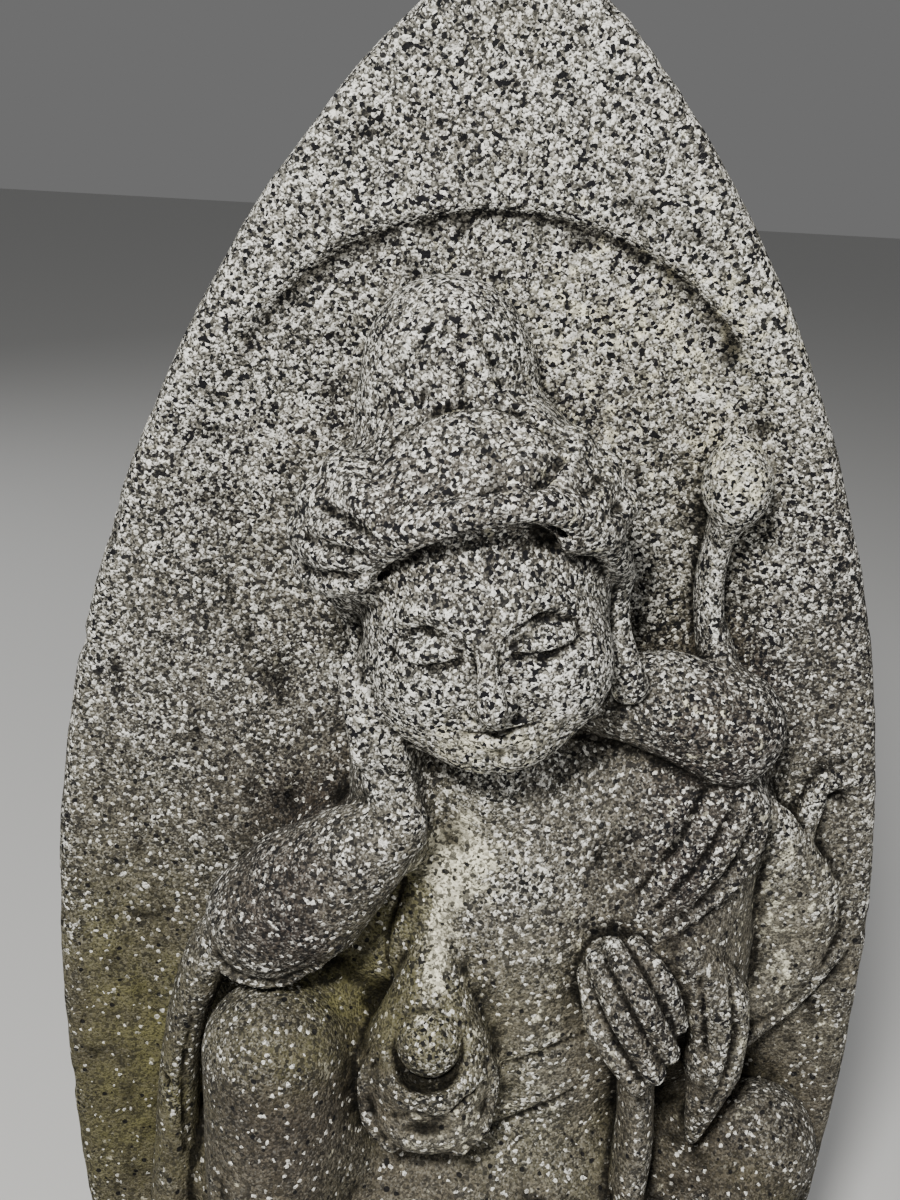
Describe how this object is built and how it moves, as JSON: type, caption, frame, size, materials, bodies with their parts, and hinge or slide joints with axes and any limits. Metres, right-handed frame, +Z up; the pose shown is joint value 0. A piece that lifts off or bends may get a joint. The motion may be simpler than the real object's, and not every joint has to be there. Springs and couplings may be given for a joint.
{
  "type": "stone bodhisattva relief statue",
  "caption": "Seated, crowned bodhisattva resting its cheek on one hand, carved in high relief on a boat-shaped stone slab with a lotus seat and a low foot.",
  "frame": {"origin": "middle of the underside of the foot, halfway between its sides and between its front and back", "axes": "+Z up, +X to the viewer's right when facing the carved side, +Y towards the back of the slab"},
  "size_m": [0.348, 0.19, 0.66],
  "materials": {
    "stone": "rough, coarse speckled grain with moss and lichen stains"
  },
  "bodies": {
    "root": {"stone_statue": "stone"}
  },
  "joints": []
}
